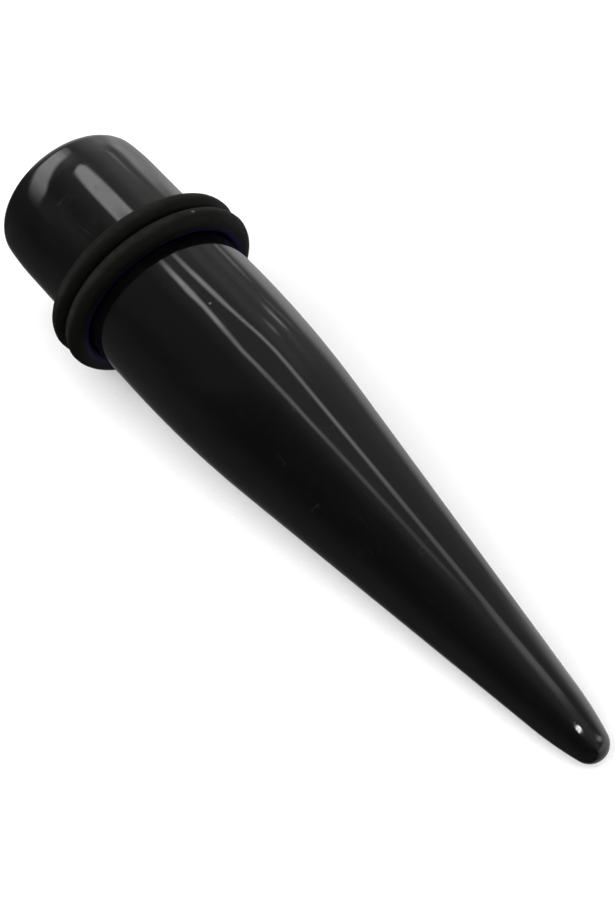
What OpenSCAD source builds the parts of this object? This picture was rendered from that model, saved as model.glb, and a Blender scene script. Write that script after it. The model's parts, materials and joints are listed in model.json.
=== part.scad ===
// Ear stretching taper with two O-rings on its shank, lying on its side.
// The tip points along +X and the floor is at Z = 0. The front O-ring and the nose touch it.

/* [Taper] */
// Diameter of the straight shank, which is the size that the taper stretches to
shank_d = 12; // [8:0.5:16]
// Length of the shank, from the flat end to where it starts to narrow
shank_length = 16; // [13:0.5:22]
// Whole length, from the flat end to the tip
taper_length = 57.2; // [50:0.1:80]
// Radius of the rounded edge of the flat end
end_edge_radius = 1; // [0.3:0.05:2.5]
// Radius of the gentler curve from the rounded edge into the shank
end_blend_radius = 20; // [4:0.5:24]
// Angle that this gentler curve turns through
end_blend_turn = 7; // [2:0.5:20]
// Radius of the long curve from the shank into the straight cone
shoulder_radius = 90; // [30:5:120]
// Radius of the curve from the cone into the rounded tip
nose_radius = 24; // [6:1:40]
// Angle that the nose curve turns through
nose_turn = 8.5; // [3:0.5:12]
// Radius of the rounded tip
tip_radius = 1.25; // [0.8:0.05:2]

/* [O-rings] */
// Thickness of the rubber
ring_thickness = 1.5; // [1:0.1:2.5]
// Distance from the flat end to the middle of the rear ring
ring_distance = 9.8; // [4:0.05:12]
// Angle that the rings lean on the shank, with their tops nearer to the tip
ring_lean = 6; // [0:0.5:8]
// Angle that the rings are turned to one side on the shank
ring_skew = 1.5; // [0:0.5:8]
// Clearance between the rings and the shank, where it is least
ring_clearance = 0.04; // [0.02:0.01:0.1]
// Gap between the two rings
ring_gap = 0.15; // [0.02:0.01:0.3]
// How much of the front ring's foot the weight presses flat against the floor
foot_press = 0.03; // [0.025:0.005:0.05]

/* [Hidden] */

acrylic_black = [0.045, 0.045, 0.05];
rubber_black = [0.13, 0.13, 0.12];

// Steps in each round stretch of the outline, and facets round the axis
arc_steps = 12;
round_facets = 128;

// Angle of the common tangent of two circles to the axis, both circles lying on its inner side.
// The second is `along` further on and `drop` nearer to the axis than the first.
function tangent_angle(along, drop, radius_1, radius_2) =
    atan2(drop, along) + asin((radius_1 - radius_2) / norm([along, drop]));

// Outline of the taper, as its radius over the distance from the flat end
shank_r = shank_d / 2;
end_blend_reach = end_blend_radius - end_edge_radius;
end_blend_center = end_edge_radius + end_blend_reach * sin(end_blend_turn);
end_blend_center_r = shank_r - end_blend_radius;
end_edge_center_r = end_blend_center_r + end_blend_reach * cos(end_blend_turn);
shoulder_center_r = shank_r - shoulder_radius;
tip_center = taper_length - tip_radius;
nose_reach = nose_radius - tip_radius;
cone_to_tip_center = nose_radius - nose_reach * cos(nose_turn);
cone_angle = tangent_angle(tip_center - shank_length, shoulder_center_r,
    shoulder_radius, cone_to_tip_center);
nose_angle = cone_angle + nose_turn;
nose_center = tip_center - nose_reach * sin(nose_angle);
nose_center_r = -nose_reach * cos(nose_angle);

// The rings are tilted on the shank, so they are wider than it by that tilt and the clearance
ring_r = ring_thickness / 2;
ring_tilt_share = cos(ring_lean) * cos(ring_skew);
ring_center_r = (shank_r + ring_clearance + ring_r) / ring_tilt_share;
ring_step = (ring_thickness + ring_gap) / ring_tilt_share;
front_ring_distance = ring_distance + ring_step;

// Middle of the front ring's section at its foot, along the axis and below it, and how high it is
foot_distance = front_ring_distance - ring_center_r * sin(ring_lean);
foot_r = ring_center_r * cos(ring_lean);
foot_height = ring_r - foot_press;

// How far the taper leans down to its tip: the floor is the common tangent of the front ring's foot
// and the nose curve, or the tip or shoulder where the shape makes one of them touch first
foot_to_nose = tangent_angle(nose_center - foot_distance, foot_r - nose_center_r,
    foot_height, nose_radius);
foot_to_tip = tangent_angle(tip_center - foot_distance, foot_r, foot_height, tip_radius);
foot_to_shoulder = tangent_angle(shank_length - foot_distance, foot_r - shoulder_center_r,
    foot_height, shoulder_radius);
incline = foot_to_nose > nose_angle ? foot_to_tip
    : foot_to_nose < cone_angle ? foot_to_shoulder
    : foot_to_nose;

// Place of the flat end's middle: the box round the part is centred on X = 0, and the front ring is down
rear_x = -end_edge_center_r * sin(incline) - end_edge_radius * (1 - cos(incline));
front_x = tip_center * cos(incline) + tip_radius;
end_x = -(rear_x + front_x) / 2;
end_z = foot_height + ring_center_r * cos(incline + ring_lean) + front_ring_distance * sin(incline);

// Points on a round stretch of the outline, between two angles from square to the axis, and from
// the step given as first
function arc(center, radius, from, to, first = 0) = [
    for (i = [first : arc_steps])
        let (angle = from + (to - from) * i / arc_steps)
            center + radius * [cos(angle), sin(angle)]
];

// Half the outline, on the right of the axis, with the flat end at the bottom
taper_outline = concat(
    [[0, 0]],
    arc([end_edge_center_r, end_edge_radius], end_edge_radius, -90, -end_blend_turn),
    arc([end_blend_center_r, end_blend_center], end_blend_radius, -end_blend_turn, 0, first = 1),
    arc([shoulder_center_r, shank_length], shoulder_radius, 0, cone_angle),
    arc([nose_center_r, nose_center], nose_radius, cone_angle, nose_angle),
    arc([0, tip_center], tip_radius, nose_angle, 90, first = 1)
);

// Turns a shape that stands on its flat end to lie along +X with the tip down, and puts the point
// of the axis at the given distance from the flat end in its place
module lay_down(distance, lean = 0, skew = 0) {
    translate([end_x + distance * cos(incline), 0, end_z - distance * sin(incline)])
        rotate([0, 0, -skew])
            rotate([0, 90 + incline + lean, 0])
                children();
}

module taper() {
    color(acrylic_black)
        lay_down(0)
            rotate_extrude($fn = round_facets) polygon(taper_outline);
}

// The ring's round starts at its side, away from the floor
module o_ring(distance) {
    lay_down(distance, ring_lean, ring_skew)
        rotate([0, 0, 90])
            rotate_extrude($fn = round_facets)
                translate([ring_center_r, 0]) circle(ring_r, $fn = round_facets);
}

module o_ring_rear() {
    color(rubber_black) o_ring(ring_distance);
}

// The floor takes a sliver off this ring, which leaves the flat that it stands on
module o_ring_front() {
    color(rubber_black)
        difference() {
            o_ring(front_ring_distance);
            translate([0, 0, -shank_d]) cube([6, 2, 2] * shank_d, center = true);
        }
}

taper();
o_ring_rear();
o_ring_front();
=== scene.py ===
"""Ear stretching taper with two O-rings on its shank, lying on a pale floor under studio light."""

import json
import math

import bmesh
import bpy
from bpy.props import FloatProperty, FloatVectorProperty, IntProperty, PointerProperty
from mathutils import Matrix, Vector


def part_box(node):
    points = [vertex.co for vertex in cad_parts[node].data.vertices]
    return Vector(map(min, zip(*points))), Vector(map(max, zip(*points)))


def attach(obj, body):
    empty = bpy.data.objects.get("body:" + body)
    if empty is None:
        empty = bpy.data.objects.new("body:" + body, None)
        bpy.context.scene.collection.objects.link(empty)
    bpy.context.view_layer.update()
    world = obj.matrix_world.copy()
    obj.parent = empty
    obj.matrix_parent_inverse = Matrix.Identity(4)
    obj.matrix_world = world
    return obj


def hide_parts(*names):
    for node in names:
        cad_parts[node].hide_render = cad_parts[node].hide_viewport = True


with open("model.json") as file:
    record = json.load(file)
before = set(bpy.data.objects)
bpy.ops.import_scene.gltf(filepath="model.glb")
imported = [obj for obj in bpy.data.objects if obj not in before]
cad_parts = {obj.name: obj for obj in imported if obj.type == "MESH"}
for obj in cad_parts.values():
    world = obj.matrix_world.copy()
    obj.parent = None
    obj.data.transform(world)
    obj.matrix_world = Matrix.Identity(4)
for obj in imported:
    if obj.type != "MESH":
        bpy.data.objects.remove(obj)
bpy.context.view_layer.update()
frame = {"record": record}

bl_info = {
    "name": "Ear stretching taper",
    "version": (1, 0, 0),
    "blender": (4, 5, 0),
    "location": "View3D > Sidebar > Taper",
    "description": "Builds a gloss acrylic ear stretching taper with rubber O-rings, and its studio",
    "category": "Object",
}

MM = 0.001
BODY = "root"

# Attributes that the meshes carry for their materials
SECTION = "section"
GLOW = "glow"
BRIGHTNESS = "brightness"


# Places read from the frame

def mount(name):
    """The record's mount of that name."""
    return next(m for m in frame["record"]["mounts"] if m["name"] == name)


END_PLACE = Vector(mount("end_face")["pos_m"])
AXIS = -Vector(mount("end_face")["axis"]).normalized()
INCLINE = math.asin(-AXIS.z)
SHANK_RADIUS = mount("shank")["dims"]["r_mm"] * MM


def box_middle(node):
    """The middle of a CAD node's box."""
    low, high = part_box(node)
    return (low + high) / 2


# Node trees

class Wire:
    """An output socket in a node tree. Arithmetic on it adds Math nodes to the tree."""

    def __init__(self, sheet, socket):
        self.sheet = sheet
        self.socket = socket

    def __add__(self, other):
        return self.sheet.math("ADD", self, other)

    def __radd__(self, other):
        return self.sheet.math("ADD", other, self)

    def __sub__(self, other):
        return self.sheet.math("SUBTRACT", self, other)

    def __rsub__(self, other):
        return self.sheet.math("SUBTRACT", other, self)

    def __mul__(self, other):
        return self.sheet.math("MULTIPLY", self, other)

    def __rmul__(self, other):
        return self.sheet.math("MULTIPLY", other, self)

    def __truediv__(self, other):
        return self.sheet.math("DIVIDE", self, other)

    def __rtruediv__(self, other):
        return self.sheet.math("DIVIDE", other, self)

    def __pow__(self, other):
        return self.sheet.math("POWER", self, other)

    def __neg__(self):
        return self.sheet.math("MULTIPLY", self, -1.0)

    def __abs__(self):
        return self.sheet.math("ABSOLUTE", self)

    def sin(self):
        return self.sheet.math("SINE", self)

    def cos(self):
        return self.sheet.math("COSINE", self)

    def clamp(self):
        """This value, held between 0 and 1."""
        return self.sheet.math("ADD", self, 0.0, clamp=True)

    def larger(self, other):
        """The larger of this value and another."""
        return self.sheet.math("MAXIMUM", self, other)

    def below(self, limit):
        """1 where this value is less than a limit, and 0 elsewhere."""
        return self.sheet.math("LESS_THAN", self, limit)

    def ease(self, start, end):
        """0 up to start and 1 from end on, with a smooth rise between them."""
        settings = {"interpolation_type": "SMOOTHSTEP"}
        sockets = {"Value": self, "From Min": start, "From Max": end}
        return self.sheet.node("ShaderNodeMapRange", settings, sockets)

    def spread(self, low, high):
        """The low value where this is 0 and the high one where this is 1."""
        return low + self * (high - low)

    def beside(self, name):
        """Another output of the same node."""
        return Wire(self.sheet, self.socket.node.outputs[name])


class Sheet:
    """Adds nodes to one node tree and wires them up."""

    def __init__(self, tree):
        self.tree = tree

    def node(self, kind, settings=None, sockets=None, output=0):
        """Adds a node, with its settings before its sockets, and gives one of its outputs if it has any."""
        made = self.tree.nodes.new(kind)
        for name, value in (settings or {}).items():
            if name == "stops":
                lay_stops(made.color_ramp, value)
            else:
                setattr(made, name, value)
        for name, value in (sockets or {}).items():
            socket = self.pick(made.inputs, name)
            if isinstance(value, Wire):
                self.tree.links.new(value.socket, socket)
            else:
                socket.default_value = value
        return Wire(self, self.pick(made.outputs, output)) if made.outputs else None

    @staticmethod
    def pick(sockets, name):
        """The socket of that number, or the enabled one of that name."""
        if isinstance(name, int):
            return sockets[name]
        return next(s for s in sockets if s.name == name and s.enabled)

    def math(self, operation, *values, clamp=False):
        """A Math node on wires and plain numbers."""
        settings = {"operation": operation, "use_clamp": clamp}
        return self.node("ShaderNodeMath", settings, dict(enumerate(values)))

    def vector(self, x=0.0, y=0.0, z=0.0):
        """A vector of three parts."""
        return self.node("ShaderNodeCombineXYZ", None, {0: x, 1: y, 2: z})

    def split(self, wire):
        """The three parts of a vector."""
        parts = self.node("ShaderNodeSeparateXYZ", None, {0: wire})
        return [parts.beside(name) for name in "XYZ"]

    def mix(self, factor, first, second):
        """A colour between two colours."""
        settings = {"data_type": "RGBA", "clamp_factor": True}
        sockets = {"Factor": factor, "A": first, "B": second}
        return self.node("ShaderNodeMix", settings, sockets, output="Result")

    def cover(self, colour, *layers):
        """A colour with others laid over it in turn, each by its own share."""
        for share, layer in layers:
            colour = self.mix(share, colour, layer)
        return colour

    def noise(self, place, scale, detail=2.0, roughness=0.5,
              stretch=(1.0, 1.0, 1.0), offset=(0.0, 0.0, 0.0)):
        """Noise between 0 and 1 about a middle of 0.5, with scale in waves for each unit of place."""
        spread = self.node(
            "ShaderNodeVectorMath", {"operation": "MULTIPLY_ADD"}, {0: place, 1: stretch, 2: offset})
        sockets = {"Vector": spread, "Scale": scale, "Detail": detail, "Roughness": roughness}
        return self.node("ShaderNodeTexNoise", {"noise_dimensions": "3D"}, sockets)


def lay_stops(ramp, stops):
    """Sets a colour ramp's stops from pairs of a position and a brightness."""
    while len(ramp.elements) < len(stops):
        ramp.elements.new(1.0)
    for element, (position, value) in zip(ramp.elements, stops):
        element.position = position
        element.color = (value, value, value, 1.0)


# Geometry Nodes trees

# Points nearer to each other than this become one
WELD = 0.0001 * MM


def new_group(name, inputs):
    """A Geometry Nodes tree with named inputs, its sheet and the wires of its inputs."""
    tree = bpy.data.node_groups.new(name, "GeometryNodeTree")
    for label, kind in inputs.items():
        tree.interface.new_socket(label, in_out="INPUT", socket_type=kind)
    tree.interface.new_socket("Geometry", in_out="OUTPUT", socket_type="NodeSocketGeometry")
    sheet = Sheet(tree)
    source = tree.nodes.new("NodeGroupInput")
    wires = {label: Wire(sheet, source.outputs[label]) for label in inputs}
    return tree, sheet, wires


def finish_group(sheet, shape, wires):
    """Welds the seam and the poles, stands the shape on the floor in its place and gives it its finish."""
    welded = sheet.node("GeometryNodeMergeByDistance", None, {"Geometry": shape, "Distance": WELD})
    moved = sheet.node("GeometryNodeTransform", None, {
        "Geometry": welded, "Translation": wires["Place"], "Rotation": wires["Turn"]})
    x, y, z = sheet.split(sheet.node("GeometryNodeInputPosition"))
    standing = sheet.node("GeometryNodeSetPosition", None, {
        "Geometry": moved, "Position": sheet.vector(x, y, z.larger(0.0))})
    smooth = sheet.node("GeometryNodeSetShadeSmooth", None, {"Geometry": standing})
    real = sheet.node("GeometryNodeRealizeInstances", None, {"Geometry": smooth})
    finished = sheet.node("GeometryNodeSetMaterial", None, {"Geometry": real, "Material": wires["Finish"]})
    sheet.node("NodeGroupOutput", None, {"Geometry": finished})


def grid_to_wrap(sheet, rows, columns):
    """A grid, with each point's share of the way along it and its angle round it."""
    grid = sheet.node("GeometryNodeMeshGrid", None, {
        "Size X": 1.0, "Size Y": 1.0, "Vertices X": rows + 1.0, "Vertices Y": columns + 1.0})
    x, y, _ = sheet.split(sheet.node("GeometryNodeInputPosition"))
    return grid, x + 0.5, (y + 0.5) * math.tau


def cosine(angle):
    """The cosine of a wire or of a plain number."""
    return angle.cos() if isinstance(angle, Wire) else math.cos(angle)


def sine(angle):
    """The sine of a wire or of a plain number."""
    return angle.sin() if isinstance(angle, Wire) else math.sin(angle)


def arc_part(radius, start, turn, share):
    """How far a round stretch has led outwards and along, at a share of its turn."""
    angle = start + turn * share
    return radius * (cosine(angle) - cosine(start)), radius * (sine(angle) - sine(start))


def line_part(outwards, along, share):
    """How far a straight stretch has led outwards and along, at a share of its length."""
    return outwards * share, along * share


# The outline's stretches: flat end, edge, blend, shank, shoulder, cone, nose and tip
STRETCHES = 8
# The side that the flat end's slant leans to, and how far along the shank the slant dies away
END_SLANT_TOWARDS = math.radians(-119)
END_SLANT_REACH = 7 * MM
# Waves of the polishing ripples in a metre, and how they are drawn out along the axis
RIPPLE_SCALE = 250.0
RIPPLE_STRETCH = (0.45, 1.0, 1.0)


def taper_group():
    """The turned taper: an outline of arcs and straight lines, carried round the axis."""
    length = "NodeSocketFloat"
    tree, sheet, size = new_group("Turned taper", {
        "Length": length, "Shank Radius": length, "Shank Length": length,
        "End Edge Radius": length, "End Blend Radius": length, "End Blend Turn": length,
        "Shoulder Radius": length, "Nose Radius": length, "Nose Turn": length, "Tip Radius": length,
        "End Slant": length, "Ripple": length,
        "Steps": "NodeSocketInt", "Facets": "NodeSocketInt",
        "Place": "NodeSocketVector", "Turn": "NodeSocketVector", "Finish": "NodeSocketMaterial",
    })
    grid, share, angle = grid_to_wrap(sheet, size["Steps"] * float(STRETCHES), size["Facets"])
    out, forward = taper_outline(sheet, size, share)

    # The end isn't cut quite square, and polishing leaves slow ripples
    slant = size["End Slant"] * (angle - END_SLANT_TOWARDS).cos()
    forward = forward - slant * (1.0 - forward.ease(0.0, END_SLANT_REACH)) * out
    straight = sheet.vector(forward, out * angle.sin(), out * angle.cos())
    ripple = (sheet.noise(straight, RIPPLE_SCALE, stretch=RIPPLE_STRETCH) - 0.5) * size["Ripple"]
    rippled = out + ripple * (out / size["Shank Radius"])
    shaped = sheet.node("GeometryNodeSetPosition", None, {
        "Geometry": grid, "Position": sheet.vector(forward, rippled * angle.sin(), rippled * angle.cos())})
    finish_group(sheet, shaped, size)
    return tree


def taper_outline(sheet, size, share):
    """How far out and how far along the outline is, at a share of the way from the axis to the tip."""
    edge, blend, blend_turn = size["End Edge Radius"], size["End Blend Radius"], size["End Blend Turn"]
    shoulder, nose, tip = size["Shoulder Radius"], size["Nose Radius"], size["Tip Radius"]

    # Middles of the round stretches, as in the solid
    blend_reach = blend - edge
    blend_end = edge + blend_reach * blend_turn.sin()
    edge_middle = size["Shank Radius"] - blend + blend_reach * blend_turn.cos()
    tip_middle = size["Length"] - tip
    nose_reach = nose - tip
    drop = size["Shank Radius"] - shoulder
    along = tip_middle - size["Shank Length"]
    inner = nose - nose_reach * size["Nose Turn"].cos()

    # The cone is the common tangent of the shoulder and the nose
    apart = (along * along + drop * drop) ** 0.5
    cone = sheet.math("ARCTAN2", drop, along) + sheet.math("ARCSINE", (shoulder - inner) / apart)
    nose_angle = cone + size["Nose Turn"]
    nose_middle = tip_middle - nose_reach * nose_angle.sin()
    cone_out = (nose - shoulder) * cone.cos() - nose_reach * nose_angle.cos() - drop
    cone_along = nose_middle + (nose - shoulder) * cone.sin() - size["Shank Length"]

    steps = [(share * float(STRETCHES) - float(i)).clamp() for i in range(STRETCHES)]
    parts = [
        line_part(edge_middle, 0.0, steps[0]),
        arc_part(edge, -math.pi / 2, math.pi / 2 - blend_turn, steps[1]),
        arc_part(blend, -blend_turn, blend_turn, steps[2]),
        line_part(0.0, size["Shank Length"] - blend_end, steps[3]),
        arc_part(shoulder, 0.0, cone, steps[4]),
        line_part(cone_out, cone_along, steps[5]),
        arc_part(nose, cone, size["Nose Turn"], steps[6]),
        arc_part(tip, nose_angle, math.pi / 2 - nose_angle, steps[7]),
    ]
    return sum(part[0] for part in parts), sum(part[1] for part in parts)


# A section is round where this is its power, and squarer where its power is larger
ROUND = 2.0
# Waves of the rubber's unevenness in a metre
UNEVEN_SCALE = 350.0


def ring_group():
    """An O-ring pressed flat against the shank, with the faint ridges that its mould's halves leave."""
    length = "NodeSocketFloat"
    tree, sheet, size = new_group("O-ring", {
        "Ring Radius": length, "Thickness": length, "Ridge Height": length, "Ridge Width": length,
        "Unevenness": length, "Squareness": length, "Seed": "NodeSocketInt",
        "Section Steps": "NodeSocketInt", "Facets": "NodeSocketInt",
        "Place": "NodeSocketVector", "Turn": "NodeSocketVector", "Finish": "NodeSocketMaterial",
    })
    grid, share, angle = grid_to_wrap(sheet, size["Section Steps"], size["Facets"])
    section = share * math.tau
    side, outward = section.sin(), section.cos()
    power = ROUND + (size["Squareness"] - ROUND) * outward.below(0.0)
    half = size["Thickness"] / 2.0 * (abs(side) ** power + abs(outward) ** power) ** (-1.0 / power)
    ridge = size["Ridge Height"] * (1.0 - (abs(side) * half).ease(0.0, size["Ridge Width"]))
    out = size["Ring Radius"] + outward * half
    smooth = sheet.vector(side * half, out * angle.sin(), out * angle.cos())
    uneven = sheet.node("ShaderNodeTexNoise", {"noise_dimensions": "4D"}, {
        "Vector": smooth, "W": size["Seed"], "Scale": UNEVEN_SCALE, "Detail": 3.0})
    reach = half + ridge + (uneven - 0.5) * size["Unevenness"]
    out = size["Ring Radius"] + outward * reach
    settings = {"data_type": "FLOAT_VECTOR", "domain": "POINT"}
    marked = sheet.node("GeometryNodeStoreNamedAttribute", settings, {
        "Geometry": grid, "Name": SECTION, "Value": sheet.vector(side, outward)})
    shaped = sheet.node("GeometryNodeSetPosition", None, {
        "Geometry": marked, "Position": sheet.vector(side * reach, out * angle.sin(), out * angle.cos())})
    finish_group(sheet, shaped, size)
    return tree


def make_piece(name, tree, values, nodes):
    """Runs a tree on an empty object, keeps the result as a plain mesh and hands it to the frame."""
    piece = bpy.data.objects.new(name, bpy.data.meshes.new(name))
    bpy.context.scene.collection.objects.link(piece)
    modifier = piece.modifiers.new("shape", "NODES")
    modifier.node_group = tree
    for item in tree.interface.items_tree:
        if item.item_type == "SOCKET" and item.in_out == "INPUT":
            modifier[item.identifier] = values[item.name]
    depsgraph = bpy.context.evaluated_depsgraph_get()
    depsgraph.update()
    mesh = bpy.data.meshes.new_from_object(piece.evaluated_get(depsgraph), depsgraph=depsgraph)
    if not mesh.polygons:
        raise RuntimeError(f"{name}: its node tree made no faces")
    piece.modifiers.clear()
    piece.data = mesh
    mesh.name = name
    face_outwards(mesh)
    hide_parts(*nodes)
    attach(piece, BODY)
    return piece


def face_outwards(mesh):
    """Turns the faces of a closed mesh round where they point inwards."""
    shape = bmesh.new()
    shape.from_mesh(mesh)
    if shape.calc_volume(signed=True) < 0:
        bmesh.ops.reverse_faces(shape, faces=shape.faces)
        shape.to_mesh(mesh)
    shape.free()


# Materials

def new_material(name):
    """An empty material and its sheet."""
    material = bpy.data.materials.new(name)
    material.use_nodes = True
    material.node_tree.nodes.clear()
    return material, Sheet(material.node_tree)


def set_surface(sheet, sockets):
    """Ends a material in a Principled shader with these values and links."""
    shader = sheet.node("ShaderNodeBsdfPrincipled", None, sockets)
    sheet.node("ShaderNodeOutputMaterial", None, {"Surface": shader})


def opaque(colour):
    """A colour with its alpha."""
    return (*colour, 1.0)


def local_millimetres(sheet, place=(0.0, 0.0, 0.0), turn=(0.0, 0.0, 0.0)):
    """Object coordinates in a piece's own frame, in millimetres."""
    coordinates = sheet.node("ShaderNodeTexCoord", None, None, output="Object")
    own = sheet.node("ShaderNodeMapping", {"vector_type": "TEXTURE"}, {
        "Vector": coordinates, "Location": place, "Rotation": turn})
    return sheet.node("ShaderNodeVectorMath", {"operation": "SCALE"}, {0: own, "Scale": 1.0 / MM})


def taper_millimetres(sheet):
    """Object coordinates from the flat end's middle, with X along the taper's axis, in millimetres."""
    return local_millimetres(sheet, END_PLACE, (0.0, INCLINE, 0.0))


def bump(sheet, height_mm):
    """A normal bent by a height in millimetres."""
    return sheet.node("ShaderNodeBump", None, {"Strength": 1.0, "Distance": MM, "Height": height_mm})


def hairlines(sheet, place, scale, width, stretch, offset):
    """1 on thin lines where a stretched noise passes its middle, broken up into short lengths."""
    waves = sheet.noise(place, scale, detail=1.0, roughness=0.4, stretch=stretch, offset=offset)
    broken = sheet.noise(place, scale=0.45, detail=2.0, roughness=0.6, offset=offset).ease(0.56, 0.62)
    return (1.0 - abs(waves - 0.5).ease(0.0, width)) * broken


def specks(sheet, place, scale, radius, share):
    """1 on small round specks of up to a radius, in a share of the cells of a random pattern."""
    cells = sheet.node(
        "ShaderNodeTexVoronoi", {"feature": "F1"}, {"Vector": place, "Scale": scale}, output="Distance")
    chance, size, _ = sheet.split(cells.beside("Color"))
    reach = radius * scale * size.spread(0.4, 1.0)
    return (1.0 - (cells / reach).ease(0.6, 1.0)) * chance.below(share)


def spot(sheet, place, middle, radius):
    """1 on one small round spot."""
    away = sheet.node(
        "ShaderNodeVectorMath", {"operation": "DISTANCE"}, {0: place, 1: middle}, output="Value")
    return 1.0 - (away / radius).ease(0.5, 1.0)


# A nick in the polish: its place from the flat end's middle and its radius, in millimetres
NICK_PLACE = (18.63, -1.135, 5.892)
NICK_RADIUS = 0.14
# Colours of the marks
NICK_COLOUR = (0.08, 0.08, 0.08)
SCRATCH_COLOUR = (0.06, 0.06, 0.06)
DUST_COLOUR = (0.22, 0.21, 0.2)
# How much paler worn acrylic is, as a factor and as what is added
WORN_GAIN = 1.6
WORN_LIFT = 0.0004
# How far smears, rubbing and each mark hide the acrylic's own colour
SMEAR_COVER = 0.6
RUB_COVER = 0.4
SCRATCH_COVER = 0.12
DUST_COVER = 0.8
NICK_COVER = 0.6
# How much rougher each makes the polish, where a speck is dust or the nick
SMEAR_DULLS = 0.03
RUB_DULLS = 0.02
SCRATCH_DULLS = 0.12
SPECK_DULLS = 0.5
# Heights of the polish's waves and of the marks, in millimetres
SLOW_WAVE_HEIGHT = 0.0012
FINE_WAVE_HEIGHT = 0.00006
SCRATCH_DEPTH = 0.0006
DUST_HEIGHT = 0.02
ACRYLIC_IOR = 1.49


def acrylic_material(look):
    """Polished black acrylic with faint smears, hairline scratches and a little dust."""
    material, sheet = new_material("acrylic")
    place = taper_millimetres(sheet)
    smear, rub = acrylic_wear(sheet, place)
    scratch = acrylic_scratches(sheet, place)
    dust = specks(sheet, place, scale=0.55, radius=0.055, share=0.16)
    nick = spot(sheet, place, NICK_PLACE, NICK_RADIUS)
    worn = [min(1.0, part * WORN_GAIN + WORN_LIFT) for part in look.acrylic]
    colour = sheet.cover(
        opaque(look.acrylic),
        (smear * SMEAR_COVER + rub * RUB_COVER, opaque(worn)),
        (scratch * SCRATCH_COVER, opaque(SCRATCH_COLOUR)),
        (dust * DUST_COVER, opaque(DUST_COLOUR)),
        (nick * NICK_COVER, opaque(NICK_COLOUR)))
    roughness = (look.acrylic_roughness + smear * SMEAR_DULLS + rub * RUB_DULLS
                 + scratch * SCRATCH_DULLS + (dust + nick) * SPECK_DULLS)
    height = acrylic_waves(sheet, place) - scratch * SCRATCH_DEPTH + dust * DUST_HEIGHT
    set_surface(sheet, {
        "Base Color": colour, "Roughness": roughness.clamp(), "IOR": ACRYLIC_IOR,
        "Normal": bump(sheet, height)})
    return material


def acrylic_wear(sheet, place):
    """How smeared and how rubbed the polish is, each between 0 and 1."""
    smear = sheet.noise(place, scale=0.22, detail=4.0, roughness=0.55, stretch=(0.6, 1.0, 1.0))
    rub = sheet.noise(
        place, scale=1.4, detail=5.0, roughness=0.6, stretch=(0.25, 1.0, 1.0), offset=(7.0, 3.0, 1.0))
    return smear.ease(0.42, 0.7), rub.ease(0.5, 0.75)


def acrylic_scratches(sheet, place):
    """1 on hairline scratches, along the taper and round it."""
    lengthwise = hairlines(
        sheet, place, scale=2.2, width=0.006, stretch=(0.05, 1.0, 1.0), offset=(11.0, 2.0, 5.0))
    crosswise = hairlines(
        sheet, place, scale=1.3, width=0.004, stretch=(1.0, 0.22, 0.22), offset=(3.0, 17.0, 9.0))
    return lengthwise.larger(crosswise)


def acrylic_waves(sheet, place):
    """The waves that polishing leaves in the surface, as a height in millimetres."""
    slow = sheet.noise(place, scale=0.5, detail=2.0, roughness=0.4, stretch=(0.35, 1.0, 1.0)) - 0.5
    fine = sheet.noise(
        place, scale=2.0, detail=1.0, roughness=0.5, stretch=(0.3, 1.0, 1.0), offset=(5.0, 5.0, 5.0)) - 0.5
    return slow * SLOW_WAVE_HEIGHT + fine * FINE_WAVE_HEIGHT


# A bit of lint on the front ring: its place from the flat end's middle and its radius, in millimetres
LINT_PLACE = (12.2, 2.1, 7.3)
LINT_RADIUS = 0.16
LINT_COLOUR = (0.12, 0.12, 0.11)
LINT_COVER = 0.7
# How far the grain shades the rubber, with or without the painted sheen
GRAIN_SHOWS = 0.5
# The rubber's roughness, what its mottle and bloom add to it, and what its parting line takes off
RUBBER_ROUGHNESS = 0.6
MOTTLE_DULLS = 0.16
BLOOM_DULLS = 0.08
PARTING_SHINES = 0.14
# Heights in millimetres
GRAIN_HEIGHT = 0.006
MOTTLE_HEIGHT = 0.012
LINT_HEIGHT = 0.02
RUBBER_IOR = 1.5
RUBBER_SPECULAR = 0.12


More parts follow.
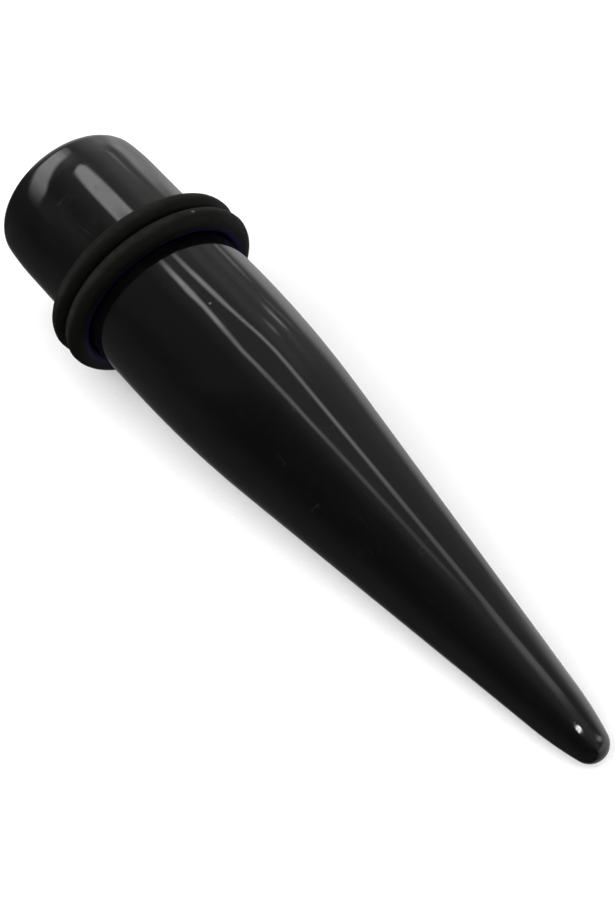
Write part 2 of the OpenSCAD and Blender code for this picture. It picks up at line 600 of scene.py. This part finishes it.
def rubber_material(look):
    """Matt black moulded rubber with patches of dull bloom, fine grain, lint and a polished parting line, a
    painted sheen on the crown's rear half where light falls, and a painted navy shade tint on the flanks by
    the shank.
    """
    material, sheet = new_material("rubber")
    place = taper_millimetres(sheet)
    section = sheet.node("ShaderNodeAttribute", {"attribute_name": SECTION}, None, output="Vector")
    side, outward, _ = sheet.split(section)
    # Patches of bloom that roughen the rubber and break up the painted sheen on its crown
    bloom_and_sheen = sheet.noise(place, scale=0.35, detail=4.0, roughness=0.6, offset=(2.0, 9.0, 4.0)).ease(0.4, 0.68)
    mottle = sheet.noise(place, scale=3.0, detail=4.0, roughness=0.65)
    grain = sheet.noise(place, scale=7.0, detail=3.0, roughness=0.7)
    dust = specks(sheet, place, scale=0.9, radius=0.06, share=0.14)
    lint = dust.larger(spot(sheet, place, LINT_PLACE, LINT_RADIUS))
    parting = (1.0 - abs(side).ease(0.0, 0.07)) * outward.ease(0.0, 0.5)
    # Painted highlight: the crown's outward face on its rear half, where the light falls, is made lighter
    # with the sheen colour
    lit_crown = outward.ease(0.0, 0.7) * (1.0 - side.ease(-0.1, 0.5))
    # Painted shade: the flanks that face the shank, where the crease lies in shade, get a navy tint
    shaded_crease = 1.0 - outward.ease(-0.55, -0.1)
    # Painted highlight on the lit crown, broken up by bloom patches and grain, plus the rubber's own grain
    # all over
    painted_sheen = lit_crown * bloom_and_sheen.spread(0.5, 1.0) * mottle.ease(0.3, 0.7).spread(0.4, 1.0)
    sheen_and_grain = painted_sheen * grain.spread(0.4, 1.6) + (grain - 0.5) * GRAIN_SHOWS
    colour = sheet.cover(
        opaque(look.rubber),
        (sheen_and_grain, opaque(look.bloom_and_sheen)),
        (shaded_crease, opaque(look.shaded_crease)),
        (lint * LINT_COVER, opaque(LINT_COLOUR)))
    roughness = RUBBER_ROUGHNESS + mottle * MOTTLE_DULLS + bloom_and_sheen * BLOOM_DULLS - parting * PARTING_SHINES
    height = (grain - 0.5) * GRAIN_HEIGHT + (mottle - 0.5) * MOTTLE_HEIGHT + lint * LINT_HEIGHT
    set_surface(sheet, {
        "Base Color": colour, "Roughness": roughness.clamp(), "IOR": RUBBER_IOR,
        "Specular IOR Level": RUBBER_SPECULAR, "Normal": bump(sheet, height)})
    return material


# The floor's roughness, how bright its darker places are, as a share, and what makes it darker
FLOOR_ROUGHNESS = 0.75
FLOOR_SHADE = 0.975
CLOUD_SHADES = 0.6
TOOTH_SHADES = 0.4
# Height of the tooth in millimetres
TOOTH_HEIGHT = 0.01


def floor_material(look):
    """Smooth pale board with a barely visible tooth."""
    material, sheet = new_material("pale floor")
    place = local_millimetres(sheet)
    cloud = sheet.noise(place, scale=0.02, detail=3.0, roughness=0.5)
    tooth = sheet.noise(place, scale=3.0, detail=3.0, roughness=0.6)
    shaded = [part * FLOOR_SHADE for part in look.floor]
    shade = cloud * CLOUD_SHADES + tooth * TOOTH_SHADES
    colour = sheet.mix(shade, opaque(look.floor), opaque(shaded))
    set_surface(sheet, {
        "Base Color": colour, "Roughness": FLOOR_ROUGHNESS,
        "Normal": bump(sheet, (tooth - 0.5) * TOOTH_HEIGHT)})
    return material


def glow_material():
    """The lights' surface, with its brightness and how solid it is from their own attributes."""
    material, sheet = new_material("studio lights")
    brightness = sheet.node("ShaderNodeAttribute", {"attribute_name": BRIGHTNESS}, None, output="Color")
    glow = sheet.node("ShaderNodeAttribute", {"attribute_name": GLOW}, None, output="Fac")
    lamp = sheet.node("ShaderNodeEmission", None, {"Color": brightness, "Strength": 1.0})
    clear = sheet.node("ShaderNodeBsdfTransparent")
    shown = sheet.node("ShaderNodeMixShader", None, {0: glow, 1: clear, 2: lamp})
    sheet.node("ShaderNodeOutputMaterial", None, {"Surface": shown})
    return material


# Studio

# The floor's flat part, the curve at its rim and the top of the wall above it, in metres
FLOOR_REACH = 0.55
COVE_RADIUS = 0.45
WALL_HEIGHT = 1.6
FLOOR_FACETS = 96
COVE_STEPS = 16
# Where the soft lamps hang and how wide they are, in metres
OVERHEAD_PLACE = (0.22, -0.3, 0.75)
OVERHEAD_WIDTH = 1.5
FILL_PLACE = (-0.15, -0.65, 0.28)
FILL_WIDTH = 1.0
# How far away the lights are that only the gloss reflects, in metres
STRIP_DISTANCE = 6.0
# A picture's width in the camera, in millimetres, and how near and far it sees, in metres
SENSOR_WIDTH = 36.0
CLIP_START = 0.01
CLIP_END = 10.0

# Lights that only the gloss reflects, which run east. Each row is a place on the light's middle line, as how
# far its direction leads east and its turn in degrees from the north over the top, then half the light's
# width in degrees, its brightness and, where it isn't the usual one, the softness of its edges
STRIPS = {
    "strip_behind": [
        (-0.455, 72.6, 2.2, 1.2), (-0.444, 72.4, 2.6, 2.6), (-0.432, 71.3, 2.7, 4.1),
        (-0.405, 70.8, 2.8, 4.0), (-0.375, 70.0, 2.8, 3.6), (-0.345, 68.9, 2.1, 3.8),
        (-0.311, 66.6, 1.9, 3.6), (-0.278, 63.5, 1.8, 3.8), (-0.245, 61.7, 1.8, 3.7),
        (-0.208, 61.6, 2.1, 3.0), (-0.15, 62.0, 2.1, 3.1), (-0.116, 62.3, 2.4, 3.3),
        (-0.09, 62.3, 2.8, 2.6), (-0.067, 63.2, 3.4, 2.0), (-0.04, 63.1, 4.1, 1.7),
        (-0.005, 64.2, 5.0, 1.6), (0.016, 65.0, 5.4, 1.5, 2.5), (0.034, 66.8, 7.5, 1.7, 3.5),
        (0.054, 69.0, 8.6, 1.85, 4.5), (0.075, 71.4, 10.0, 1.5, 5.0), (0.106, 73.4, 11.0, 1.1, 5.5),
        (0.19, 77.7, 11.0, 0.7, 6.0), (0.3, 80.0, 10.0, 0.5, 6.0)],
    "strip_above": [
        (-0.447, 90.6, 2.2, 1.5), (-0.438, 90.6, 2.7, 3.3), (-0.43, 90.5, 2.8, 5.1),
        (-0.405, 91.1, 3.3, 4.7), (-0.365, 90.8, 2.3, 4.4), (-0.325, 91.8, 2.5, 4.8),
        (-0.3, 92.6, 2.4, 3.4), (-0.28, 93.2, 2.3, 2.8), (-0.244, 94.3, 1.8, 3.6),
        (-0.204, 93.4, 1.9, 3.0), (-0.164, 92.9, 2.4, 2.2), (-0.114, 92.1, 2.3, 2.3),
        (-0.09, 91.9, 2.2, 2.35), (-0.076, 90.8, 2.5, 1.75), (-0.045, 89.3, 3.2, 1.4),
        (-0.016, 87.4, 3.7, 0.95), (0.0, 86.9, 4.4, 0.9), (0.014, 85.5, 4.1, 0.85),
        (0.035, 84.0, 3.0, 0.5)],
    "window": [
        (-0.535, 81.0, 2.0, 1.5), (-0.52, 80.5, 4.0, 3.0), (-0.51, 82.0, 5.5, 3.8),
        (-0.5, 82.4, 8.5, 4.3), (-0.493, 82.7, 11.0, 4.2), (-0.485, 83.0, 11.5, 4.0),
        (-0.468, 83.0, 11.5, 4.0), (-0.459, 83.0, 11.5, 3.9)],
    "hairline": [
        (-0.62, 43.0, 2.0, 0.9), (-0.6, 38.0, 2.0, 1.0), (-0.575, 33.5, 2.5, 1.1),
        (-0.555, 33.0, 2.5, 1.5), (-0.545, 33.0, 2.5, 1.3), (-0.538, 33.0, 2.5, 0.9),
        (-0.53, 33.0, 2.5, 0.6)],
    "strip_low": [
        (-0.545, 10.5, 2.5, 0.9), (-0.53, 10.5, 2.6, 1.08), (-0.52, 10.5, 2.6, 1.0),
        (-0.505, 12.0, 2.4, 0.83), (-0.485, 12.5, 2.2, 0.6), (-0.475, 12.5, 2.0, 0.5)],
    "streak_low": [
        (-0.415, 26.0, 2.0, 0.9), (-0.395, 26.0, 2.5, 1.5), (-0.38, 26.0, 2.8, 2.1),
        (-0.37, 25.0, 2.8, 2.0), (-0.35, 25.0, 2.0, 0.8)],
    "streak_high": [
        (-0.352, 44.0, 1.8, 0.8), (-0.33, 42.0, 2.3, 1.6), (-0.315, 42.0, 2.3, 1.5),
        (-0.298, 42.0, 1.8, 0.7)],
    "streak_far": [
        (-0.455, 17.0, 2.4, 0.55), (-0.43, 16.0, 2.4, 0.72), (-0.42, 13.5, 2.4, 0.85),
        (-0.41, 11.0, 2.4, 0.73), (-0.395, 10.0, 2.4, 0.45)],
    "point": [
        (0.305, 109.0, 2.0, 28.0), (0.311, 109.0, 9.0, 28.0), (0.317, 109.0, 12.0, 28.0),
        (0.323, 109.0, 13.0, 28.0), (0.329, 109.0, 12.0, 28.0), (0.335, 109.0, 9.0, 28.0),
        (0.341, 109.0, 2.0, 28.0)],
    "patch": [
        (0.26, 43.0, 6.0, 1.5, 6.0), (0.33, 45.0, 11.0, 2.5, 9.0), (0.41, 47.0, 16.0, 3.2, 11.0),
        (0.5, 49.0, 17.0, 3.0, 12.0), (0.62, 47.0, 14.0, 2.6, 10.0), (0.74, 43.0, 7.0, 2.0, 7.0)],
}
STRIP_SOFTNESS = 1.8

# Lights that run from the north over the top to the south, whose width is counted eastwards
BOWS = {
    "window_end": [
        (-0.675, 68.0, 0.02, 0.6), (-0.668, 73.0, 0.03, 1.5), (-0.668, 78.0, 0.036, 1.9),
        (-0.668, 84.0, 0.04, 3.5), (-0.667, 91.5, 0.042, 4.0), (-0.664, 101.5, 0.046, 3.7),
        (-0.66, 111.0, 0.052, 3.7), (-0.655, 118.0, 0.058, 3.3), (-0.648, 124.0, 0.062, 2.9),
        (-0.638, 130.0, 0.068, 2.8), (-0.632, 135.0, 0.07, 2.4), (-0.632, 140.5, 0.066, 1.7),
        (-0.63, 147.0, 0.06, 1.0), (-0.63, 153.0, 0.055, 0.5), (-0.62, 161.0, 0.05, 0.3)],
}
BOW_SOFTNESS = 0.012


def lay_floor(look):
    """A round floor whose rim curves up into a wall, all in one sheet."""
    outline = [(FLOOR_REACH * i / COVE_STEPS, 0.0) for i in range(COVE_STEPS)]
    for i in range(COVE_STEPS + 1):
        angle = math.pi / 2 * i / COVE_STEPS
        outline.append((FLOOR_REACH + COVE_RADIUS * math.sin(angle), COVE_RADIUS * (1 - math.cos(angle))))
    outline.append((FLOOR_REACH + COVE_RADIUS, WALL_HEIGHT))
    shape = bmesh.new()
    line = [shape.verts.new((radius, 0.0, height)) for radius, height in outline]
    edges = [shape.edges.new(pair) for pair in zip(line, line[1:])]
    bmesh.ops.spin(
        shape, geom=line + edges, cent=(0, 0, 0), axis=(0, 0, 1), angle=math.tau, steps=FLOOR_FACETS)
    bmesh.ops.remove_doubles(shape, verts=shape.verts, dist=MM)
    bmesh.ops.recalc_face_normals(shape, faces=shape.faces)
    for face in shape.faces:
        face.smooth = True
    mesh = bpy.data.meshes.new("floor")
    shape.to_mesh(mesh)
    shape.free()
    mesh.materials.append(floor_material(look))
    floor = bpy.data.objects.new("floor", mesh)
    bpy.context.scene.collection.objects.link(floor)
    floor.visible_glossy = False


def hang_lamp(name, place, width, power):
    """One big soft light, which the gloss doesn't show."""
    lamp = bpy.data.lights.new(name, "AREA")
    lamp.shape = "DISK"
    lamp.size = width
    lamp.energy = power
    light = bpy.data.objects.new(name, lamp)
    place = Vector(place)
    light.matrix_world = Matrix.Translation(place) @ (-place).to_track_quat("-Z", "Y").to_matrix().to_4x4()
    light.visible_camera = False
    light.visible_glossy = False
    bpy.context.scene.collection.objects.link(light)


def light_place(east, turn):
    """A place round the object, given as how far it lies east and its turn from the north over the top."""
    reach = math.sqrt(1 - east * east)
    turn = math.radians(turn)
    return Vector((east, reach * math.cos(turn), reach * math.sin(turn))) * STRIP_DISTANCE


def edge_steps(half, softness):
    """Steps from a light's middle line to its outer and inner edges, and how solid it is there."""
    softness = min(softness, half)
    return (-half - softness, 0.0), (softness - half, 1.0), (half - softness, 1.0), (half + softness, 0.0)


def across_turn(east, turn, half, softness=STRIP_SOFTNESS):
    """Places across a light that runs east, and how solid it is there."""
    return [(light_place(east, turn + step), solid) for step, solid in edge_steps(half, softness)]


def across_east(east, turn, half, softness=BOW_SOFTNESS):
    """Places across a light that runs over the top, and how solid it is there."""
    return [(light_place(east + step, turn), solid) for step, solid in edge_steps(half, softness)]


def hang_strip(name, rows, material, across):
    """A curved light that only the gloss sees, soft at its edges and its ends."""
    last = len(rows) - 1
    shape = bmesh.new()
    glow = shape.verts.layers.float.new(GLOW)
    bright = shape.verts.layers.float.new(BRIGHTNESS)
    lines = []
    for i, (east, turn, half, brightness, *softness) in enumerate(rows):
        line = []
        for place, solid in across(east, turn, half, *softness):
            vert = shape.verts.new(place)
            vert[glow] = solid if 0 < i < last else 0.0
            vert[bright] = brightness
            line.append(vert)
        lines.append(line)
    for line, ahead in zip(lines, lines[1:]):
        for i in range(len(line) - 1):
            shape.faces.new((line[i], line[i + 1], ahead[i + 1], ahead[i]))
    mesh = bpy.data.meshes.new(name)
    shape.to_mesh(mesh)
    shape.free()
    mesh.materials.append(material)
    strip = bpy.data.objects.new(name, mesh)
    bpy.context.scene.collection.objects.link(strip)
    strip.visible_camera = False
    strip.visible_diffuse = False
    strip.visible_shadow = False


# How bright the room is, by the turn in degrees from the north over the top and down in the south. Each
# room gives way to the next where the direction leads from the first place to the second, counted
# eastwards less a share of how far it leads up
ROOM_WEST = [
    (-90, 0.15), (-36, 0.7), (0, 1.1), (12, 0.85), (24, 1.1), (51, 0.7), (66, 0.4), (85, 0.8), (97, 0.5),
    (130, 0.3), (150, 0.15), (180, 0.08), (270, 0.1)]
ROOMS_EAST = [
    (-0.7, -0.64, 0.13, [
        (-90, 0.1), (-36, 0.4), (-9, 0.75), (3, 1.2), (9, 1.5), (13, 1.5), (20, 0.55), (24, 0.45),
        (31, 0.7), (44, 0.75), (62, 0.45), (96, 0.4), (114, 0.22), (126, 0.17), (145, 0.22), (162, 0.12),
        (195, 0.05), (206, 0.08), (270, 0.06)]),
    (-0.6, -0.565, 0.13, [
        (-90, 0.1), (-42, 0.4), (-10, 0.9), (-5, 0.85), (4, 0.35), (18, 0.38), (27, 0.55), (37, 0.45),
        (50, 0.62), (59, 0.42), (84, 0.43), (96, 0.36), (114, 0.17), (150, 0.14), (174, 0.08), (205, 0.1),
        (270, 0.08)]),
    (-0.44, -0.36, 0.26, [
        (-90, 0.1), (-42, 0.4), (-15, 0.7), (-6, 0.55), (0, 0.32), (6, 0.28), (12, 0.34), (50, 0.39),
        (84, 0.42), (96, 0.36), (108, 0.2), (118, 0.12), (135, 0.09), (162, 0.05), (180, 0.055),
        (204, 0.1), (270, 0.07)]),
    (-0.235, -0.145, 0.26, [
        (-90, 0.2), (-30, 0.9), (0, 1.4), (10, 1.4), (21, 0.9), (36, 0.42), (48, 0.3), (70, 0.55),
        (84, 0.6), (96, 0.36), (108, 0.3), (120, 0.19), (132, 0.11), (150, 0.08), (168, 0.05),
        (192, 0.09), (216, 0.12), (252, 0.05), (270, 0.05)]),
]


def room_ramp(sheet, turn, stops):
    """A room's brightness at a share of the whole turn."""
    shares = [((angle + 90) / 360, value) for angle, value in stops]
    return sheet.node("ShaderNodeValToRGB", {"stops": shares}, {"Fac": turn})


def set_surroundings(scene):
    """A dim room, lighter in the north than in the south, which the gloss reflects."""
    world = bpy.data.worlds.new("studio room")
    scene.world = world
    world.use_nodes = True
    world.node_tree.nodes.clear()
    sheet = Sheet(world.node_tree)
    direction = sheet.node("ShaderNodeTexCoord", None, None, output="Generated")
    east, north, up = sheet.split(direction)
    angle = sheet.math("ARCTAN2", up, north) + math.pi / 2
    turn = sheet.math("WRAP", angle, math.tau, 0.0) / math.tau
    room = room_ramp(sheet, turn, ROOM_WEST)
    for start, end, share, stops in ROOMS_EAST:
        room = sheet.mix((east - up * share).ease(start, end), room, room_ramp(sheet, turn, stops))
    background = sheet.node("ShaderNodeBackground", None, {"Color": room, "Strength": 1.0})
    sheet.node("ShaderNodeOutputWorld", None, {"Surface": background})


def place_camera(scene, studio):
    """The camera at the viewing angle, with its picture upright."""
    azimuth, elevation = studio.azimuth, studio.elevation
    right = Vector((math.cos(azimuth), math.sin(azimuth), 0.0))
    level = math.cos(elevation)
    back = Vector((math.sin(azimuth) * level, -math.cos(azimuth) * level, math.sin(elevation)))
    turn = Matrix((right, back.cross(right), back)).transposed().to_4x4()
    lens = bpy.data.cameras.new("camera")
    lens.lens = studio.lens
    lens.sensor_width = SENSOR_WIDTH
    lens.clip_start = CLIP_START
    lens.clip_end = CLIP_END
    camera = bpy.data.objects.new("camera", lens)
    camera.matrix_world = Matrix.Translation(Vector(studio.target) + back * studio.distance) @ turn
    scene.collection.objects.link(camera)
    scene.camera = camera


# What a user can change

class TaperSizes(bpy.types.PropertyGroup):
    """Sizes of the taper."""

    length: FloatProperty(
        name="Length", description="From the flat end to the tip",
        default=57.2 * MM, min=50 * MM, max=80 * MM, unit="LENGTH", precision=4)
    shank_radius: FloatProperty(
        name="Shank radius", description="Half the gauge that the taper stretches to",
        default=SHANK_RADIUS, min=4 * MM, max=8 * MM, unit="LENGTH", precision=4)
    shank_length: FloatProperty(
        name="Shank length", description="From the flat end to where it starts to narrow",
        default=16 * MM, min=13 * MM, max=22 * MM, unit="LENGTH", precision=4)
    end_edge_radius: FloatProperty(
        name="End edge radius", description="Rounded edge of the flat end",
        default=1.0 * MM, min=0.3 * MM, max=2.5 * MM, unit="LENGTH", precision=5)
    end_blend_radius: FloatProperty(
        name="End blend radius", description="Gentler curve from the rounded edge into the shank",
        default=20 * MM, min=4 * MM, max=24 * MM, unit="LENGTH", precision=5)
    end_blend_turn: FloatProperty(
        name="End blend turn", description="Angle that the gentler curve turns through",
        default=math.radians(7), subtype="ANGLE")
    end_slant: FloatProperty(
        name="End slant", description="How far the flat end is from square, as a slope",
        default=0.03, min=0.0, max=0.1)
    shoulder_radius: FloatProperty(
        name="Shoulder radius", description="Long curve from the shank into the cone",
        default=90 * MM, min=30 * MM, max=120 * MM, unit="LENGTH", precision=4)
    nose_radius: FloatProperty(
        name="Nose radius", description="Curve from the cone into the rounded tip",
        default=24 * MM, min=6 * MM, max=40 * MM, unit="LENGTH", precision=4)
    nose_turn: FloatProperty(
        name="Nose turn", description="Angle that the nose curve turns through",
        default=math.radians(8.5), subtype="ANGLE")
    tip_radius: FloatProperty(
        name="Tip radius", description="Rounded tip",
        default=1.25 * MM, min=0.8 * MM, max=2 * MM, unit="LENGTH", precision=5)
    ripple: FloatProperty(
        name="Ripple", description="Height of the slow ripples that polishing leaves",
        default=0.006 * MM, min=0.0, max=0.05 * MM, unit="LENGTH", precision=6)
    steps: IntProperty(
        name="Steps", description="Rows of faces in each stretch of the outline", default=28, min=4, max=40)
    facets: IntProperty(name="Facets", description="Faces round the axis", default=256, min=32, max=320)


class RingSizes(bpy.types.PropertyGroup):
    """Sizes of the O-rings and how they sit."""

    thickness: FloatProperty(
        name="Thickness", description="Thickness of the rubber",
        default=1.5 * MM, min=1 * MM, max=2.5 * MM, unit="LENGTH", precision=5)
    clearance: FloatProperty(
        name="Clearance", description="Least room between a ring and the shank",
        default=0.04 * MM, min=0.0, max=0.1 * MM, unit="LENGTH", precision=6)
    lean: FloatProperty(
        name="Lean", description="How far the tops of the rings lean towards the tip",
        default=math.radians(6), subtype="ANGLE")
    skew: FloatProperty(
        name="Skew", description="How far the rings are turned to one side",
        default=math.radians(1.5), subtype="ANGLE")
    ridge_height: FloatProperty(
        name="Ridge height", description="Height of the line that the mould's halves leave",
        default=0.018 * MM, min=0.0, max=0.1 * MM, unit="LENGTH", precision=6)
    ridge_width: FloatProperty(
        name="Ridge width", description="Half the width of that line",
        default=0.07 * MM, min=0.01 * MM, max=0.3 * MM, unit="LENGTH", precision=6)
    unevenness: FloatProperty(
        name="Unevenness", description="How far the rubber's surface wanders in and out",
        default=0.03 * MM, min=0.0, max=0.1 * MM, unit="LENGTH", precision=6)
    squareness: FloatProperty(
        name="Squareness", description="How flat the rubber lies on the shank: 2 is round, more is squarer",
        default=3.2, min=2.0, max=6.0)
    section_steps: IntProperty(
        name="Section steps", description="Faces round the rubber's section", default=80, min=16, max=120)
    facets: IntProperty(name="Facets", description="Faces round the ring", default=288, min=64, max=512)


class Look(bpy.types.PropertyGroup):
    """Colours and gloss."""

    acrylic: FloatVectorProperty(
        name="Acrylic", description="Colour of the acrylic", subtype="COLOR", size=3,
        default=(0.0008, 0.0008, 0.0009), min=0.0, max=1.0)
    acrylic_roughness: FloatProperty(
        name="Acrylic roughness", description="Roughness of the polished surface",
        default=0.05, min=0.0, max=1.0, subtype="FACTOR")
    rubber: FloatVectorProperty(
        name="Rubber", description="Colour of the rubber", subtype="COLOR", size=3,
        default=(0.0016, 0.0016, 0.0012), min=0.0, max=1.0)
    # Painted highlight: the colour that the sheen on the crown's lit rear half, and the grain, lighten the
    # rubber towards
    bloom_and_sheen: FloatVectorProperty(
        name="Bloom", description="Colour of the dull film on the rubber's crown", subtype="COLOR", size=3,
        default=(0.0125, 0.0122, 0.0096), min=0.0, max=1.0)
    # Painted shade: a navy tint for the shaded flanks in the crease by the shank
    shaded_crease: FloatVectorProperty(
        name="Crease", description="Colour of the rubber's flanks near the shank", subtype="COLOR", size=3,
        default=(0.0015, 0.0015, 0.025), min=0.0, max=1.0)
    floor: FloatVectorProperty(
        name="Floor", description="Colour of the floor", subtype="COLOR", size=3,
        default=(0.92, 0.92, 0.92), min=0.0, max=1.0)


class Studio(bpy.types.PropertyGroup):
    """Camera and light."""

    azimuth: FloatProperty(
        name="Azimuth", description="Camera's turn about the upright, from the front",
        default=math.radians(51.67), subtype="ANGLE")
    elevation: FloatProperty(
        name="Elevation", description="Camera's height above the floor, as an angle",
        default=math.radians(45.61), subtype="ANGLE")
    distance: FloatProperty(
        name="Distance", description="From the camera to the point that it looks at",
        default=127.97 * MM, min=50 * MM, max=1.0, unit="LENGTH", precision=4)
    lens: FloatProperty(
        name="Lens", description="Focal length, as a number of millimetres on a 36 mm sensor",
        default=77.1, min=20.0, max=200.0)
    target: FloatVectorProperty(
        name="Target", description="Point that the camera looks at", subtype="XYZ", size=3, unit="LENGTH",
        default=(0.34 * MM, -0.13 * MM, 5.036 * MM), precision=5)
    overhead_power: FloatProperty(
        name="Overhead power", description="Power of the soft light above",
        default=9.0, min=0.0, unit="POWER")
    fill_power: FloatProperty(
        name="Fill power", description="Power of the low soft light in front",
        default=5.0, min=0.0, unit="POWER")


# Operators

class TAPER_OT_turn_body(bpy.types.Operator):
    """Build the acrylic taper in place of its plain solid"""

    bl_idname = "taper.turn_body"
    bl_label = "Turn the taper"
    bl_options = {"REGISTER", "UNDO"}

    def execute(self, context):
        sizes = context.scene.taper_sizes
        values = {
            "Length": sizes.length, "Shank Radius": sizes.shank_radius, "Shank Length": sizes.shank_length,
            "End Edge Radius": sizes.end_edge_radius, "End Blend Radius": sizes.end_blend_radius,
            "End Blend Turn": sizes.end_blend_turn, "Shoulder Radius": sizes.shoulder_radius,
            "Nose Radius": sizes.nose_radius, "Nose Turn": sizes.nose_turn, "Tip Radius": sizes.tip_radius,
            "End Slant": sizes.end_slant, "Ripple": sizes.ripple,
            "Steps": sizes.steps, "Facets": sizes.facets,
            "Place": END_PLACE, "Turn": Vector((0.0, INCLINE, 0.0)),
            "Finish": acrylic_material(context.scene.taper_look),
        }
        make_piece("taper_body", taper_group(), values, ["taper"])
        return {"FINISHED"}


class TAPER_OT_mould_rings(bpy.types.Operator):
    """Build the two rubber O-rings in place of their plain solids"""

    bl_idname = "taper.mould_rings"
    bl_label = "Mould the O-rings"
    bl_options = {"REGISTER", "UNDO"}

    def execute(self, context):
        sizes = context.scene.taper_rings
        half = sizes.thickness / 2
        tilt_share = math.cos(sizes.lean) * math.cos(sizes.skew)
        radius = (context.scene.taper_sizes.shank_radius + sizes.clearance + half) / tilt_share
        finish = rubber_material(context.scene.taper_look)
        tree = ring_group()
        for seed, node in enumerate(("o_ring_rear", "o_ring_front")):
            values = {
                "Ring Radius": radius, "Thickness": sizes.thickness,
                "Ridge Height": sizes.ridge_height, "Ridge Width": sizes.ridge_width,
                "Unevenness": sizes.unevenness, "Squareness": sizes.squareness, "Seed": seed + 1,
                "Section Steps": sizes.section_steps, "Facets": sizes.facets,
                "Place": box_middle(node), "Turn": Vector((0.0, INCLINE + sizes.lean, -sizes.skew)),
                "Finish": finish,
            }
            make_piece(node + "_rubber", tree, values, [node])
        return {"FINISHED"}


class TAPER_OT_set_studio(bpy.types.Operator):
    """Set up the pale floor, the soft light, what the gloss reflects and the camera"""

    bl_idname = "taper.set_studio"
    bl_label = "Set the studio"
    bl_options = {"REGISTER", "UNDO"}

    def execute(self, context):
        studio = context.scene.taper_studio
        lay_floor(context.scene.taper_look)
        hang_lamp("overhead", OVERHEAD_PLACE, OVERHEAD_WIDTH, studio.overhead_power)
        hang_lamp("fill", FILL_PLACE, FILL_WIDTH, studio.fill_power)
        glow = glow_material()
        for name, rows in STRIPS.items():
            hang_strip(name, rows, glow, across_turn)
        for name, rows in BOWS.items():
            hang_strip(name, rows, glow, across_east)
        set_surroundings(context.scene)
        place_camera(context.scene, studio)
        context.scene.view_settings.view_transform = "Standard"
        return {"FINISHED"}


class TAPER_PT_panel(bpy.types.Panel):
    """Lists the taper's operators and settings"""

    bl_label = "Ear stretching taper"
    bl_idname = "TAPER_PT_panel"
    bl_space_type = "VIEW_3D"
    bl_region_type = "UI"
    bl_category = "Taper"

    def draw(self, context):
        layout = self.layout
        for operator in OPERATORS:
            layout.operator(operator.bl_idname)
        for name in GROUPS:
            box = layout.box()
            settings = getattr(context.scene, name)
            box.label(text=settings.__doc__)
            for item in settings.__annotations__:
                box.prop(settings, item)


# Registration

GROUPS = {"taper_sizes": TaperSizes, "taper_rings": RingSizes, "taper_look": Look, "taper_studio": Studio}
OPERATORS = (TAPER_OT_turn_body, TAPER_OT_mould_rings, TAPER_OT_set_studio)
CLASSES = (*GROUPS.values(), *OPERATORS, TAPER_PT_panel)


def register():
    for cls in CLASSES:
        bpy.utils.register_class(cls)
    for name, group in GROUPS.items():
        setattr(bpy.types.Scene, name, PointerProperty(type=group))


def unregister():
    for name in GROUPS:
        delattr(bpy.types.Scene, name)
    for cls in reversed(CLASSES):
        bpy.utils.unregister_class(cls)


def write_sizes():
    """Brings the scene up to date."""
    bpy.context.view_layer.update()


def main():
    register()
    bpy.ops.taper.turn_body()
    bpy.ops.taper.mould_rings()
    bpy.ops.taper.set_studio()
    write_sizes()


if __name__ == "__main__":
    main()
